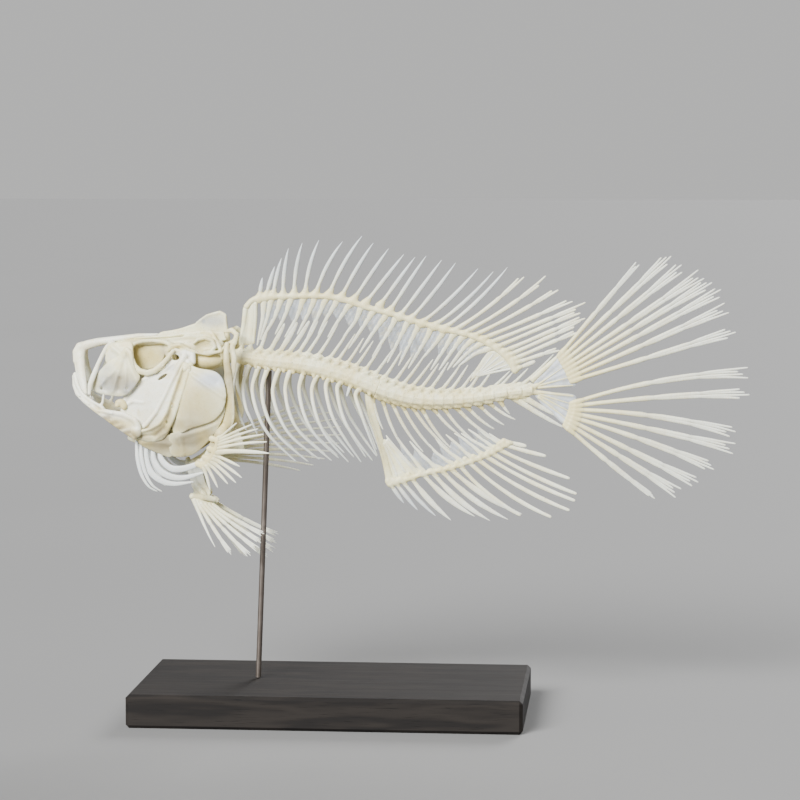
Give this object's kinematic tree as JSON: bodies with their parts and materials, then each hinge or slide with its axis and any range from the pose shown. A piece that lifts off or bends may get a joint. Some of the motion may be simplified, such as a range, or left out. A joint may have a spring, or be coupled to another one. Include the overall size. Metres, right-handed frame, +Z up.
{
  "type": "fish skeleton",
  "caption": "Skeleton of a tilapia, a deep-bodied freshwater fish, mouth open and fins spread, held by a thin rod over a plain base for display.",
  "frame": {"origin": "on the surface the base stands on, under the middle of the fish's length and in its middle plane", "axes": "+X from the snout towards the tail, +Y towards the fish's right side, +Z up"},
  "size_m": [0.2443, 0.072, 0.1717],
  "materials": {
    "skull_bone": "dry ivory-white bone with ochre stains",
    "gill_cover_bone": "thin beige-grey plate bone",
    "column_bone": "slightly yellowed porous bone",
    "rib_bone": "pale polished rib bone",
    "fin_bone": "pale bluish-white fin bone, yellower at its foot",
    "thin_bone": "thin greyish half-clear bone",
    "rod_steel": "dull brown-grey rod",
    "base_wood": "black stained wood, satin"
  },
  "bodies": {
    "root": {"anal_fin": "fin_bone", "caudal_rays_lower": "fin_bone", "caudal_rays_upper": "fin_bone", "caudal_vertebrae": "column_bone", "dorsal_fin_soft": "fin_bone", "dorsal_fin_spiny": "fin_bone", "hyoid_left": "thin_bone", "hyoid_right": "thin_bone", "hypural_lower": "thin_bone", "hypural_upper": "thin_bone", "infraorbital_left": "skull_bone", "infraorbital_right": "skull_bone", "interopercle_left": "gill_cover_bone", "interopercle_right": "gill_cover_bone", "lachrymal_left": "gill_cover_bone", "lachrymal_right": "gill_cover_bone", "mandible_left": "skull_bone", "mandible_right": "skull_bone", "maxilla_left": "skull_bone", "maxilla_right": "skull_bone", "neurocranium": "skull_bone", "opercle_left": "gill_cover_bone", "opercle_right": "gill_cover_bone", "pectoral_fin_left": "fin_bone", "pectoral_fin_right": "fin_bone", "pelvic_fin_left": "fin_bone", "pelvic_fin_right": "fin_bone", "pelvic_girdle": "thin_bone", "premaxilla_left": "skull_bone", "premaxilla_right": "skull_bone", "preopercle_left": "skull_bone", "preopercle_right": "skull_bone", "ribs_left": "rib_bone", "ribs_right": "rib_bone", "shoulder_girdle_left": "skull_bone", "shoulder_girdle_right": "skull_bone", "stand_base": "base_wood", "stand_rod": "rod_steel", "subopercle_left": "gill_cover_bone", "subopercle_right": "gill_cover_bone", "suspensorium_left": "skull_bone", "suspensorium_right": "skull_bone", "trunk_vertebrae": "column_bone"}
  },
  "joints": []
}
